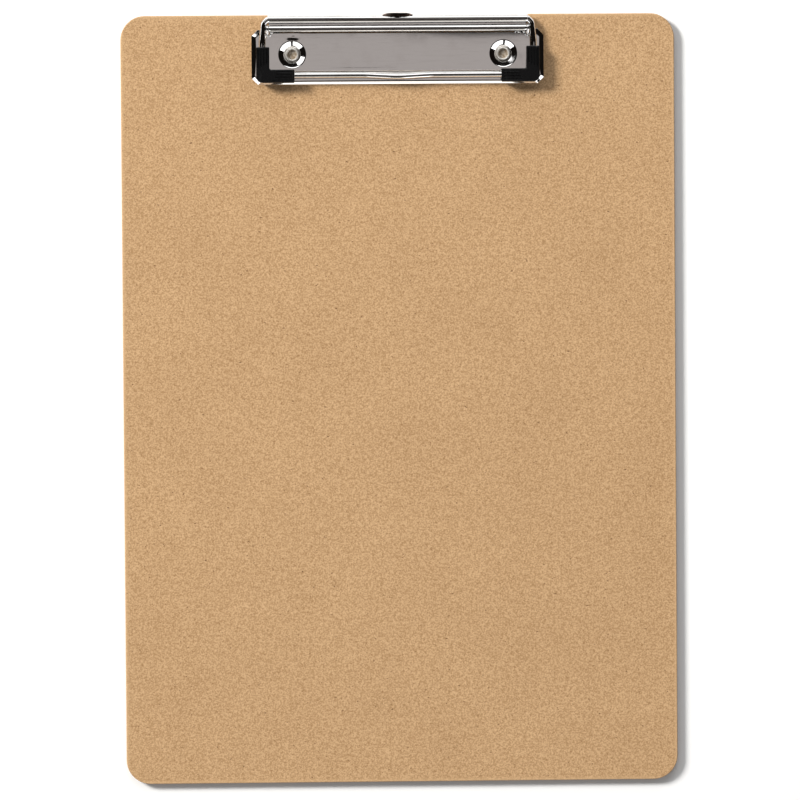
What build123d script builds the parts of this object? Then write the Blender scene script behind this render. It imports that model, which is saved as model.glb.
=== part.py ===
from build123d import *

import os
from math import atan, cos, degrees, radians, tan

# A clipboard: a hardboard sheet with a low-profile wire clip riveted along its top edge.
# Millimetres. The origin is the centre of the board's back face, +X runs across the board,
# +Y towards the clip and +Z out of the front. "setback" is a distance below the board's top edge.

# ---- driving sizes ----

# hardboard sheet
board_width = 228.6
board_height = 317.5
board_thickness = 3.2
board_corner_radius = 10.0
board_edge_round = 0.4

# round stock
wire_diameter = 2.4
pin_diameter = 2.0
pin_head_diameter = 2.9
pin_head_thickness = 0.45

# lever: a strip rolled up along both long edges
lever_length = 107.2
lever_sheet = 0.5
lever_edge_setback = 0.1
lever_lift = 1.2
roll_gap = 0.55
pin_roll_end_cutback = 0.5
roll_seam = 0.35

# thumb tab, lanced out of the lever's outer roll
tab_width = 12.5
tab_rise = 1.9
tab_lean = 1.1
tab_corner_radius = 0.9
tab_window_depth = 0.7

# pressed base plate
plate_sheet = 0.6
flange_height = 1.2
platform_height = 2.4
platform_depth = 15.5
platform_end_margin = 0.5
platform_rear_corner = 2.2
platform_front_radius = 2.0
platform_edge_round = 0.5
skirt_run = 1.8
plate_corner = 2.6
plate_side_margin = 1.97
plate_front_margin = 0.57
plate_rear_overlap = 0.3
ear_nose_radius = 1.7
ear_foot_length = 3.6

# rivets and the dishes pressed for them
rivet_shank_diameter = 4.6
rivet_bore_diameter = 3.8
rivet_head_diameter = 9.0
rivet_head_thickness = 0.8
rivet_roll_diameter = 5.8
rivet_roll_height = 0.85
rivet_bore_floor = 1.6
rivet_end_inset = 10.95
dish_mouth_radius = 5.85
dish_wall_slope = 38.0
dish_blend_radius = 0.94
dish_rim_radius = 0.85
dish_front_margin = 0.95

# wire bail
bail_front_gap = 0.6
bail_end_length = 12.0
bail_crank_setback = 9.6
bail_crank_radius = 15.0
bail_corner_radius = 4.0
bail_bow = 0.5
bail_bow_half_length = 13.0
bail_bow_radius = 150.0

# moulded corner sleeves
sleeve_width = 5.45
sleeve_side_length = 14.7
sleeve_front_length = 15.8
sleeve_cover = 0.95
sleeve_side_shift = 0.3
sleeve_front_shift = 0.4
sleeve_outer_radius = 2.6
sleeve_inner_radius = 0.8
sleeve_edge_round = 0.45
groove_count = 4
groove_pitch = 1.19
groove_width = 0.55
groove_depth = 0.35
groove_length = 7.1
groove_end_margin = 0.8

# clearances
running_clearance = 0.05
seat_clearance = 0.03
hole_clearance = 0.1
side_play = 0.3
arm_clearance = 0.35
roll_clearance = 0.35
jaw_gap = 0.15
heel_clearance = 0.35

# ---- places worked out from the sizes ----

front = board_thickness
top_edge = board_height / 2
wire_radius = wire_diameter / 2
pin_radius = pin_diameter / 2

wire_roll_radius = wire_radius + running_clearance + lever_sheet
pin_roll_radius = pin_radius + running_clearance + lever_sheet
wire_roll_setback = lever_edge_setback + wire_roll_radius
pin_roll_setback = wire_roll_setback + wire_roll_radius + roll_gap + pin_roll_radius
wire_roll_y = top_edge - wire_roll_setback
pin_roll_y = top_edge - pin_roll_setback
wire_roll_z = front + lever_lift + wire_roll_radius
pin_roll_z = front + lever_lift + pin_roll_radius

wire_roll_half = lever_length / 2
pin_roll_half = wire_roll_half - pin_roll_end_cutback
ear_inner_x = pin_roll_half + side_play
ear_outer_x = ear_inner_x + plate_sheet
pin_half = ear_outer_x + pin_head_thickness
arm_x = pin_half + arm_clearance + wire_radius

platform_half = ear_outer_x + platform_end_margin
platform_rear_y = pin_roll_y - pin_roll_radius - roll_clearance
platform_front_y = platform_rear_y - platform_depth
platform_top = front + platform_height
flange_top = front + flange_height

bail_front_y = platform_front_y - bail_front_gap - wire_radius
bail_front_z = platform_top + jaw_gap + wire_radius

sleeve_side_x = arm_x - sleeve_side_shift
sleeve_front_y = bail_front_y - sleeve_front_shift
sleeve_outer_x = sleeve_side_x + sleeve_width / 2
sleeve_inner_x = sleeve_side_x - sleeve_width / 2
sleeve_outer_y = sleeve_front_y - sleeve_width / 2
sleeve_inner_y = sleeve_front_y + sleeve_width / 2
sleeve_bottom = flange_top + jaw_gap
sleeve_shelf = platform_top + jaw_gap
sleeve_top = bail_front_z + wire_radius + sleeve_cover

plate_half = sleeve_outer_x + plate_side_margin
plate_front_y = sleeve_outer_y - plate_front_margin
plate_rear_y = pin_roll_y - plate_rear_overlap
skirt_taper = degrees(atan(skirt_run / flange_height))

rivet_x = platform_half - rivet_end_inset
rivet_y = platform_front_y + dish_mouth_radius + dish_front_margin
rivet_seat = front + plate_sheet
rivet_hole_radius = rivet_shank_diameter / 2 + hole_clearance
rivet_places = [(-rivet_x, rivet_y), (rivet_x, rivet_y)]
dish_depth = platform_height - plate_sheet
dish_blend_run = dish_blend_radius * tan(radians(dish_wall_slope / 2))
dish_top_corner = dish_mouth_radius - dish_blend_run
dish_floor_corner = dish_top_corner - dish_depth / tan(radians(dish_wall_slope))

os.makedirs("parts", exist_ok=True)


# ---- board: one sheet with routed corners, two rivet holes and head recesses in the back ----

with BuildPart() as board:
    with BuildSketch(Plane.XY):
        RectangleRounded(board_width, board_height, board_corner_radius)
    extrude(amount=board_thickness)
    fillet(board.faces().sort_by(Axis.Z)[-1].edges(), board_edge_round)
    fillet(board.faces().sort_by(Axis.Z)[0].edges(), board_edge_round)
    with BuildSketch(Plane.XY):
        with Locations(rivet_places):
            Circle(rivet_head_diameter / 2 + hole_clearance)
    extrude(amount=rivet_head_thickness, mode=Mode.SUBTRACT)
    with BuildSketch(Plane.XY):
        with Locations(rivet_places):
            Circle(rivet_hole_radius)
    extrude(amount=board_thickness, mode=Mode.SUBTRACT)


# ---- base plate: platform, flange and skirt in one pressing, with dishes and hinge ears ----

def pressing(wall, edge_round):
    """The outside of the pressing, or with a wall thickness the space left under its sheet."""
    wall_run = wall / cos(radians(skirt_taper))
    rear_y = platform_rear_y - wall
    with BuildPart() as form:
        with BuildSketch(Plane.XY.offset(front)) as outline:
            with Locations((0, (plate_front_y + plate_rear_y) / 2)):
                Rectangle(2 * (plate_half - wall_run), plate_rear_y - plate_front_y - 2 * wall_run)
            chamfer(outline.vertices(), plate_corner)
        extrude(amount=flange_height - wall, taper=skirt_taper)
        with BuildSketch(Plane.XY.offset(front)) as rise:
            with Locations((0, (platform_front_y + platform_rear_y) / 2)):
                Rectangle(2 * (platform_half - wall), platform_depth - 2 * wall)
            chamfer(rise.vertices().group_by(Axis.Y)[-1], platform_rear_corner)
            fillet(rise.vertices().group_by(Axis.Y)[0], platform_front_radius)
        extrude(amount=platform_height - wall)
        if edge_round:
            fillet(form.faces().sort_by(Axis.Z)[-1].edges(), edge_round)
        # the flange stops short of the lever's inner roll between the ears
        with BuildSketch(Plane.XY.offset(front)):
            with Locations((0, rear_y)):
                Rectangle(2 * (ear_inner_x + wall), 2 * pin_roll_setback, align=(Align.CENTER, Align.MIN))
        extrude(amount=platform_height, mode=Mode.SUBTRACT)
    return form.part


with BuildPart() as base_plate:
    add(pressing(0, platform_edge_round))
    add(pressing(plate_sheet, 0), mode=Mode.SUBTRACT)
    for x in (-rivet_x, rivet_x):
        dish_plane = Plane(origin=(x, rivet_y, front), x_dir=(1, 0, 0), z_dir=(0, -1, 0))
        with BuildSketch(dish_plane):
            Polygon(
                (0, 0),
                (dish_floor_corner, 0),
                (dish_mouth_radius + plate_sheet, platform_height - plate_sheet),
                (dish_mouth_radius + plate_sheet, platform_height - plate_sheet / 2),
                (0, platform_height - plate_sheet / 2),
                align=None,
            )
        revolve(axis=Axis((x, rivet_y, front), (0, 0, 1)))
        with BuildSketch(dish_plane):
            with BuildLine():
                hollow = FilletPolyline(
                    (0, plate_sheet),
                    (dish_floor_corner, plate_sheet),
                    (dish_top_corner, platform_height),
                    radius=dish_blend_radius,
                )
                Polyline(hollow @ 1, (0, platform_height), hollow @ 0)
            make_face()
        revolve(axis=Axis((x, rivet_y, front), (0, 0, 1)), mode=Mode.SUBTRACT)
    platform_face = base_plate.faces().filter_by(Plane.XY).sort_by(Axis.Z)[-1]
    rims = platform_face.edges().filter_by(GeomType.CIRCLE)
    rims = rims.filter_by(lambda edge: abs(edge.radius - dish_top_corner) < seat_clearance)
    fillet(rims, dish_rim_radius)
    with BuildSketch(Plane.XY.offset(front)):
        with Locations(rivet_places):
            Circle(rivet_hole_radius)
    extrude(amount=plate_sheet, mode=Mode.SUBTRACT)
    # hinge ears, bent up from the flange at both ends of the lever
    for x in (-ear_outer_x, ear_inner_x):
        with BuildSketch(Plane.YZ.offset(x)):
            with BuildLine():
                CenterArc((pin_roll_y, pin_roll_z), ear_nose_radius, 0, 360)
                Line(
                    (plate_rear_y - skirt_run, flange_top - plate_sheet / 2),
                    (plate_rear_y - skirt_run - ear_foot_length, flange_top - plate_sheet / 2),
                )
            make_hull()
        extrude(amount=plate_sheet)
        with BuildSketch(Plane.YZ.offset(x)):
            with Locations((pin_roll_y, pin_roll_z)):
                Circle(pin_radius + seat_clearance)
        extrude(amount=plate_sheet, mode=Mode.SUBTRACT)


# ---- rivets: head flush in the board's back, tube rolled over in the dish ----

def rivet(x, y):
    """One semi-tubular rivet standing at (x, y)."""
    shank = rivet_shank_diameter / 2
    bore = rivet_bore_diameter / 2
    roll = rivet_roll_diameter / 2
    underside = rivet_seat + seat_clearance
    with BuildPart() as body:
        with BuildSketch(Plane(origin=(x, y, 0), x_dir=(1, 0, 0), z_dir=(0, -1, 0))):
            with BuildLine():
                Polyline(
                    (roll, underside),
                    (shank, underside),
                    (shank, rivet_head_thickness),
                    (rivet_head_diameter / 2, rivet_head_thickness),
                    (rivet_head_diameter / 2, 0),
                    (0, 0),
                    (0, rivet_bore_floor),
                    (bore, rivet_bore_floor),
                    (bore, underside + rivet_roll_height / 2),
                )
                ThreePointArc(
                    (bore, underside + rivet_roll_height / 2),
                    ((bore + roll) / 2, underside + rivet_roll_height),
                    (roll, underside),
                )
            make_face()
        revolve(axis=Axis((x, y, 0), (0, 0, 1)))
    return body.part


with BuildPart() as rivet_left:
    add(rivet(-rivet_x, rivet_y))

with BuildPart() as rivet_right:
    add(rivet(rivet_x, rivet_y))


# ---- hinge pin: rod through the lever's inner roll, headed over outside both ears ----

with BuildPart() as hinge_pin:
    with BuildSketch(Plane.YZ):
        with Locations((pin_roll_y, pin_roll_z)):
            Circle(pin_radius)
    extrude(amount=ear_outer_x + seat_clearance, both=True)
    for side in (-1, 1):
        head_plane = Plane(
            origin=(side * (ear_outer_x + seat_clearance), pin_roll_y, pin_roll_z),
            x_dir=(0, 1, 0),
            z_dir=(side, 0, 0),
        )
        with BuildSketch(head_plane):
            Circle(pin_head_diameter / 2)
        extrude(amount=pin_head_thickness - seat_clearance)
    fillet(hinge_pin.faces().sort_by(Axis.X)[-1].edges(), pin_head_thickness / 2)
    fillet(hinge_pin.faces().sort_by(Axis.X)[0].edges(), pin_head_thickness / 2)


# ---- lever: strip with a roll along each edge, a web between them and the thumb tab ----

with BuildPart() as lever:
    for y, z, radius, half in (
        (wire_roll_y, wire_roll_z, wire_roll_radius, wire_roll_half),
        (pin_roll_y, pin_roll_z, pin_roll_radius, pin_roll_half),
    ):
        with BuildSketch(Plane.YZ):
            with Locations((y, z)):
                Circle(radius)
        extrude(amount=half, both=True)
    # web along the undersides
    with BuildSketch(Plane.YZ):
        with Locations(((wire_roll_y + pin_roll_y) / 2, front + lever_lift)):
            Rectangle(wire_roll_y - pin_roll_y, lever_sheet, align=(Align.CENTER, Align.MIN))
    extrude(amount=pin_roll_half, both=True)
    # bores of the rolls, and the seams where the two curls come back to the web
    for y, z, radius in (
        (wire_roll_y, wire_roll_z, wire_roll_radius),
        (pin_roll_y, pin_roll_z, pin_roll_radius),
    ):
        with BuildSketch(Plane.YZ):
            with Locations((y, z)):
                Circle(radius - lever_sheet)
        extrude(amount=wire_roll_half, both=True, mode=Mode.SUBTRACT)
    with BuildSketch(Plane.YZ):
        with Locations(((wire_roll_y + pin_roll_y) / 2, front + lever_lift + lever_sheet)):
            Rectangle(wire_roll_y - pin_roll_y - wire_roll_radius, roll_seam, align=(Align.CENTER, Align.MIN))
    extrude(amount=wire_roll_half, both=True, mode=Mode.SUBTRACT)
    # window left by the tab, an arc across the crown of the outer roll
    window_edge_y = top_edge - lever_edge_setback
    with BuildSketch(Plane.XY.offset(wire_roll_z + lever_sheet)):
        with BuildLine():
            window_arc = ThreePointArc(
                (-tab_width / 2, window_edge_y),
                (0, window_edge_y - tab_window_depth),
                (tab_width / 2, window_edge_y),
            )
            Polyline(
                window_arc @ 1,
                (tab_width / 2, window_edge_y + lever_sheet),
                (-tab_width / 2, window_edge_y + lever_sheet),
                window_arc @ 0,
            )
        make_face()
    extrude(amount=wire_roll_radius, mode=Mode.SUBTRACT)
    # the tab, leaning out from the side of the roll
    tab_root = (0, window_edge_y - lever_sheet / 2, wire_roll_z)
    tab_plane = Plane(origin=tab_root, x_dir=(1, 0, 0), z_dir=(0, -tab_rise, tab_lean))
    with BuildSketch(tab_plane) as tab_outline:
        Rectangle(tab_width, (tab_rise**2 + tab_lean**2) ** 0.5, align=(Align.CENTER, Align.MIN))
        fillet(tab_outline.vertices().group_by(Axis.Z)[-1], tab_corner_radius)
    extrude(amount=lever_sheet / 2, both=True)


# ---- wire bail: spring wire bent to a U, its ends turned in to the lever's outer roll ----

bail_crank_y = top_edge - bail_crank_setback
bail_bend_radius = arm_x - wire_roll_half
bail_half_route = [
    (wire_roll_half - bail_end_length, wire_roll_y, wire_roll_z),
    (arm_x, wire_roll_y, wire_roll_z),
    (arm_x, bail_crank_y, bail_front_z),
    (arm_x, bail_front_y, bail_front_z),
    (bail_bow_half_length, bail_front_y, bail_front_z),
]
bail_half_radii = [bail_bend_radius, bail_crank_radius, bail_corner_radius, bail_bow_radius]
bail_route = (
    [(-x, y, z) for x, y, z in bail_half_route]
    + [(0, bail_front_y - bail_bow, bail_front_z)]
    + bail_half_route[::-1]
)
bail_radii = bail_half_radii + [bail_bow_radius] + bail_half_radii[::-1]

with BuildLine() as bail_path:
    FilletPolyline(*bail_route, radius=bail_radii)


def along_bail(radius):
    """A round bar of this radius along the bail's route."""
    route = bail_path.wires()[0]
    with BuildPart() as bar:
        with BuildSketch(Plane(origin=route @ 0, z_dir=route % 0)):
            Circle(radius)
        sweep(path=route)
    return bar.part


with BuildPart() as wire_bail:
    add(along_bail(wire_radius))


# ---- sleeves: L-shaped moulded grips on the bail's corners, ribbed on top near both ends ----

def sleeve_outline(inner_x, inner_y):
    """Plan of the right-hand sleeve, out to its outer edges from these inner ones."""
    rear_y = sleeve_outer_y + sleeve_side_length
    end_x = sleeve_outer_x - sleeve_front_length
    with BuildSketch(Plane.XY) as outline:
        Polygon(
            (inner_x, rear_y),
            (inner_x, inner_y),
            (end_x, inner_y),
            (end_x, sleeve_outer_y),
            (sleeve_outer_x, sleeve_outer_y),
            (sleeve_outer_x, rear_y),
            align=None,
        )
        fillet(outline.vertices().sort_by_distance((sleeve_outer_x, sleeve_outer_y))[0], sleeve_outer_radius)
        fillet(outline.vertices().sort_by_distance((inner_x, inner_y))[0], sleeve_inner_radius)
    return outline.sketch


heel_inner_x = platform_half + heel_clearance
heel_inner_y = platform_front_y - heel_clearance

with BuildPart() as sleeve_right:
    with BuildSketch(Plane.XY.offset(sleeve_shelf)):
        add(sleeve_outline(sleeve_inner_x, sleeve_inner_y))
    extrude(amount=sleeve_top - sleeve_shelf)
    fillet(sleeve_right.faces().sort_by(Axis.Z)[-1].edges(), sleeve_edge_round)
    with BuildSketch(Plane.XY.offset(sleeve_bottom)):
        add(sleeve_outline(heel_inner_x, heel_inner_y))
    extrude(amount=sleeve_shelf - sleeve_bottom)
    chamfer(sleeve_right.faces().sort_by(Axis.Z)[0].edges(), sleeve_edge_round)
    side_groove_y = sleeve_outer_y + sleeve_side_length - groove_end_margin - groove_length / 2
    front_groove_x = sleeve_outer_x - sleeve_front_length + groove_end_margin + groove_length / 2
    with BuildSketch(Plane.XY.offset(sleeve_top - groove_depth)):
        with Locations((sleeve_side_x, side_groove_y)):
            with GridLocations(groove_pitch, 0, groove_count, 1):
                SlotOverall(groove_length, groove_width, rotation=90)
        with Locations((front_groove_x, sleeve_front_y)):
            with GridLocations(0, groove_pitch, 1, groove_count):
                SlotOverall(groove_length, groove_width)
    extrude(amount=groove_depth, mode=Mode.SUBTRACT)
    add(along_bail(wire_radius + seat_clearance), mode=Mode.SUBTRACT)

with BuildPart() as sleeve_left:
    add(mirror(sleeve_right.part, about=Plane.YZ, mode=Mode.PRIVATE))


pieces = {
    "board": board,
    "base_plate": base_plate,
    "rivet_left": rivet_left,
    "rivet_right": rivet_right,
    "hinge_pin": hinge_pin,
    "lever": lever,
    "wire_bail": wire_bail,
    "sleeve_left": sleeve_left,
    "sleeve_right": sleeve_right,
}
for name, piece in pieces.items():
    piece.part.label = name
    export_step(piece.part, f"parts/{name}.step")
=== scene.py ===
from math import atan2, cos, pi, radians, sin

import bmesh
import bpy
import numpy as np
from mathutils import Euler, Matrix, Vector


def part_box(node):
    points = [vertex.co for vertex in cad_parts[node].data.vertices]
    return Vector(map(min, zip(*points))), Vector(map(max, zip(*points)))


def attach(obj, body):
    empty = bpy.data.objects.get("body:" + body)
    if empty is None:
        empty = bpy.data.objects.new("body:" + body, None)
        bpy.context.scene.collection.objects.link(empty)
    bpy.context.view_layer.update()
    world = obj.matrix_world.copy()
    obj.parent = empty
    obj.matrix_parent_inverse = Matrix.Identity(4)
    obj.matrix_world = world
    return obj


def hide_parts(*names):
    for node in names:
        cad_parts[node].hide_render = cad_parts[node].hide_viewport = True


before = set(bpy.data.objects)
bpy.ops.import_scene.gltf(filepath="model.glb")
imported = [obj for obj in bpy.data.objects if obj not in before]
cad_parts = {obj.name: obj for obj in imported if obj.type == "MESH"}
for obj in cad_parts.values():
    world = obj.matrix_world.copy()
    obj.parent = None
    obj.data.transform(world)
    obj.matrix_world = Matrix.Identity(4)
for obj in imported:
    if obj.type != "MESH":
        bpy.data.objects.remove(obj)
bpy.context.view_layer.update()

mm = 0.001


# ---- studio ----
# The clipboard lies face up on a white table and is seen from straight above. Soft light comes from the upper
# left; white cards stand behind and in front of it, and the rest of the room is dark, as the plating shows.

table_size = 30.0
table_drop = 0.1 * mm
table_white = (0.93, 0.93, 0.93, 1)
camera_distance = 2.0
camera_lens = 217.2
camera_turn = Euler((radians(-1.8), radians(-1.575), radians(-0.404)))
camera_aim = Vector((0.05 * mm, -0.5 * mm, 0.0))


def flat_rectangle(name, half_x, half_y, height):
    """Four corners at plus and minus the two half sizes, at one height, facing up."""
    mesh = bpy.data.meshes.new(name)
    turns = ((-1, -1), (1, -1), (1, 1), (-1, 1))
    corners = [(half_x * right, half_y * rear, height) for right, rear in turns]
    mesh.from_pydata(corners, [], [(0, 1, 2, 3)])
    piece = bpy.data.objects.new(name, mesh)
    bpy.context.scene.collection.objects.link(piece)
    return piece


table = flat_rectangle("table", table_size / 2, table_size / 2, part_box("board")[0].z - table_drop)
table_paint = bpy.data.materials.new("table_paint")
table_paint.use_nodes = True
table_shader = table_paint.node_tree.nodes["Principled BSDF"]
table_shader.inputs["Base Color"].default_value = table_white
table_shader.inputs["Roughness"].default_value = 0.9
table_shader.inputs["Specular IOR Level"].default_value = 0.1
table.data.materials.append(table_paint)

camera = bpy.data.objects.new("camera", bpy.data.cameras.new("camera"))
bpy.context.scene.collection.objects.link(camera)
camera.data.lens = camera_lens
camera.data.sensor_width = 36.0
camera.data.clip_end = 100.0
camera.rotation_euler = camera_turn
camera.location = camera_aim + camera_turn.to_matrix() @ Vector((0, 0, camera_distance))
bpy.context.scene.camera = camera
bpy.context.scene.view_settings.view_transform = "Standard"

clip_place = Vector((0, 0.143, 0))


def softbox(name, azimuth, zenith, distance, wide, high, radiance, tone=(1, 1, 1), matte=True, gloss=True):
    """A rectangular light aimed at the clip from an azimuth (0 is +X, 90 is +Y) and an angle off the
    vertical. It may leave out matte surfaces, as a card that is only seen in the plating, or glossy ones."""
    lamp = bpy.data.lights.new(name, "AREA")
    lamp.shape = "RECTANGLE"
    lamp.size, lamp.size_y = wide, high
    lamp.energy = radiance * pi * wide * high
    lamp.color = tone
    holder = bpy.data.objects.new(name, lamp)
    bpy.context.scene.collection.objects.link(holder)
    a, t = radians(azimuth), radians(zenith)
    toward = Vector((sin(t) * cos(a), sin(t) * sin(a), cos(t)))
    holder.location = clip_place + toward * distance
    holder.rotation_euler = toward.to_track_quat("Z", "Y").to_euler()
    holder.visible_camera = False
    holder.visible_diffuse = matte
    holder.visible_glossy = gloss
    return holder


cream = (1.0, 0.95, 0.88)
softbox("key_box", 150, 57, 5.0, 1.25, 1.25, 76.0, (1.0, 0.985, 0.955), gloss=False)
softbox("back_box", 92, 46, 1.8, 1.5, 1.05, 2.0)
softbox("left_card", 142, 74, 1.8, 1.5, 0.5, 2.2, matte=False)
softbox("back_low_card", 90, 84, 1.8, 3.0, 0.36, 1.9, matte=False)
softbox("front_low_card", -90, 78, 1.8, 3.0, 0.46, 1.7, cream, matte=False)
softbox("front_left_card", -121, 66, 1.8, 1.5, 0.75, 2.2, matte=False)
softbox("front_right_card", -51, 66, 1.8, 2.05, 0.75, 2.2, matte=False)
softbox("front_strip", -90, 40, 1.8, 2.0, 0.16, 0.45, (1.0, 0.93, 0.85), matte=False)
softbox("ceiling_box", 78, 1.4, 2.4, 0.9, 0.34, 0.40, (1.0, 0.92, 0.89), matte=False)

room = bpy.data.worlds.new("room")
bpy.context.scene.world = room
room.use_nodes = True
room_nodes, room_links = room.node_tree.nodes, room.node_tree.links
pale_room = room_nodes["Background"]
dark_room = room_nodes.new("ShaderNodeBackground")
backdrop = room_nodes.new("ShaderNodeBackground")
white, dim_brown = (1.0, 1.0, 1.0, 1), (1.0, 0.8, 0.68, 1)
walls = ((pale_room, white, 0.28), (dark_room, dim_brown, 0.006), (backdrop, white, 1.0))
for wall, colour, strength in walls:
    wall.inputs["Color"].default_value = colour
    wall.inputs["Strength"].default_value = strength
ray = room_nodes.new("ShaderNodeLightPath")
gloss_or_not = room_nodes.new("ShaderNodeMixShader")
seen_or_not = room_nodes.new("ShaderNodeMixShader")
room_links.new(ray.outputs["Is Glossy Ray"], gloss_or_not.inputs["Fac"])
room_links.new(pale_room.outputs[0], gloss_or_not.inputs[1])
room_links.new(dark_room.outputs[0], gloss_or_not.inputs[2])
room_links.new(ray.outputs["Is Camera Ray"], seen_or_not.inputs["Fac"])
room_links.new(gloss_or_not.outputs[0], seen_or_not.inputs[1])
room_links.new(backdrop.outputs[0], seen_or_not.inputs[2])
room_links.new(seen_or_not.outputs[0], room_nodes["World Output"].inputs["Surface"])


# ---- board ----
# A sheet of brown hardboard, pressed from wood fibre: smooth in front, printed by the press's wire screen
# behind, sawn and routed to shape with its edges eased, and bored for the two rivets.

board_tan = (0.40, 0.239, 0.113, 1)
board_pale = (0.65, 0.425, 0.234, 1)
board_dark = (0.22, 0.109, 0.040, 1)
board_fleck = (0.115, 0.052, 0.02, 1)
board_sawn = (0.27, 0.145, 0.062, 1)
board_behind = (0.43, 0.25, 0.118, 1)
board_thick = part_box("board")[1].z
board_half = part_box("board")[1].x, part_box("board")[1].y
edge_ease = 0.6 * mm
fibre_size, fibre_across_size, pressed_size, fleck_size = 0.6 * mm, 1.5 * mm, 1.1 * mm, 1.7 * mm
cloud_size, layer_size = 38 * mm, 0.35 * mm
# Painted edge highlight on the face: how ragged it is, and where it starts and stops fading in from the edge.
edge_highlight_ragged, edge_highlight_start, edge_highlight_end = 0.5 * mm, 0.5 * mm, 1.9 * mm
back_skin, screen_skin, screen_pitch = 0.3 * mm, 0.1 * mm, 1.5 * mm
board_relief = 0.09 * mm


def feed(tree, made, sockets):
    """Gives each of a node's sockets its value, or links another node's output into it."""
    for key, value in sockets.items():
        if isinstance(value, bpy.types.NodeSocket):
            tree.links.new(value, made.inputs[key])
        else:
            made.inputs[key].default_value = value


def node(tree, kind, sockets=None, **settings):
    """Adds a node: settings are its own choices, and sockets are fed with values or other nodes' outputs."""
    made = tree.nodes.new("ShaderNode" + kind)
    for name, value in settings.items():
        setattr(made, name, value)
    feed(tree, made, sockets or {})
    return made


def finish_material(name, **fixed):
    """A material with its shader's fixed sockets set. Gives the material, its tree and its shader."""
    made = bpy.data.materials.new(name)
    made.use_nodes = True
    shader = made.node_tree.nodes["Principled BSDF"]
    for key, value in fixed.items():
        shader.inputs[key.replace("_", " ")].default_value = value
    return made, made.node_tree, shader


def math(tree, operation, first, second=0.0, third=0.0):
    """The result of one sum on two or three values."""
    return node(tree, "Math", {0: first, 1: second, 2: third}, operation=operation).outputs[0]


def ramp(tree, value, low, high, start=0.0, end=1.0):
    """Runs from start to end, smoothly, as the value goes from low to high."""
    sockets = {"Value": value, "From Min": low, "From Max": high, "To Min": start, "To Max": end}
    return node(tree, "MapRange", sockets, interpolation_type="SMOOTHSTEP").outputs["Result"]


def blend(tree, share, first, second):
    """A colour between two, by share."""
    return node(tree, "Mix", {0: share, 6: first, 7: second}, data_type="RGBA").outputs[2]


def lift(tree, shader, height, strength, distance):
    """Bends the shader's normal by a height."""
    sockets = {"Height": height, "Strength": strength, "Distance": distance}
    tree.links.new(node(tree, "Bump", sockets).outputs["Normal"], shader.inputs["Normal"])


def piece_place(tree, stretch=(1, 1, 1), turn=0.0):
    """The point on the piece in its own metres, stretched and turned about Z."""
    place = node(tree, "TexCoord").outputs["Object"]
    sockets = {"Vector": place, "Scale": stretch, "Rotation": (0, 0, turn)}
    return node(tree, "Mapping", sockets).outputs["Vector"]


def node_group(tree, group, sockets):
    """Places a node group with its own values, and gives its outputs."""
    made = node(tree, "Group")
    made.node_tree = group
    feed(tree, made, sockets)
    return made.outputs


def make_grain_group():
    """Noise whose patches are Size metres across, as a mask that climbs from 0 to 1 between Low and High."""
    group = bpy.data.node_groups.new("grain", "ShaderNodeTree")
    for name, kind, value in (("Place", "NodeSocketVector", None), ("Size", "NodeSocketFloat", 0.001),
                              ("Detail", "NodeSocketFloat", 2.0), ("Low", "NodeSocketFloat", 0.3),
                              ("High", "NodeSocketFloat", 0.7)):
        socket = group.interface.new_socket(name, in_out="INPUT", socket_type=kind)
        if value is not None:
            socket.default_value = value
    group.interface.new_socket("Mask", in_out="OUTPUT", socket_type="NodeSocketFloat")
    given, result = group.nodes.new("NodeGroupInput"), group.nodes.new("NodeGroupOutput")
    scale = math(group, "DIVIDE", 1.0, given.outputs["Size"])
    sockets = {"Vector": given.outputs["Place"], "Scale": scale, "Detail": given.outputs["Detail"]}
    noise = node(group, "TexNoise", sockets)
    mask = ramp(group, noise.outputs["Fac"], given.outputs["Low"], given.outputs["High"])
    group.links.new(mask, result.inputs["Mask"])
    return group


grain_group = make_grain_group()


def grain(tree, place, size, low, high, detail=2.0):
    """The grain group placed in a material with its own values."""
    sockets = {"Place": place, "Size": size, "Detail": detail, "Low": low, "High": high}
    return node_group(tree, grain_group, sockets)["Mask"]


hardboard, tree, shader = finish_material("hardboard", Specular_IOR_Level=0.22)
place = piece_place(tree)
spot = node(tree, "SeparateXYZ", {0: place}).outputs
fibre = grain(tree, place, fibre_size, 0.3, 0.7)
fibre_across = grain(tree, piece_place(tree, (1, 2.6, 1), 0.5), fibre_across_size, 0.34, 0.7)
pressed_dark = grain(tree, place, pressed_size, 0.55, 0.75)
flecks = grain(tree, piece_place(tree, (1, 1.7, 1), 1.1), fleck_size, 0.70, 0.74)
clouds = grain(tree, place, cloud_size, 0.2, 0.8, 3.0)
face = blend(tree, fibre, board_tan, board_pale)
for mask, strength, colour in ((fibre_across, 0.22, board_tan), (pressed_dark, 0.5, board_dark),
                               (clouds, 0.10, board_dark), (flecks, 0.85, board_fleck)):
    face = blend(tree, math(tree, "MULTIPLY", mask, strength), face, colour)
from_side = math(tree, "SUBTRACT", board_half[0], math(tree, "ABSOLUTE", spot["X"]))
from_end = math(tree, "SUBTRACT", board_half[1], math(tree, "ABSOLUTE", spot["Y"]))
from_edge = math(tree, "MINIMUM", from_side, from_end)
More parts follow.
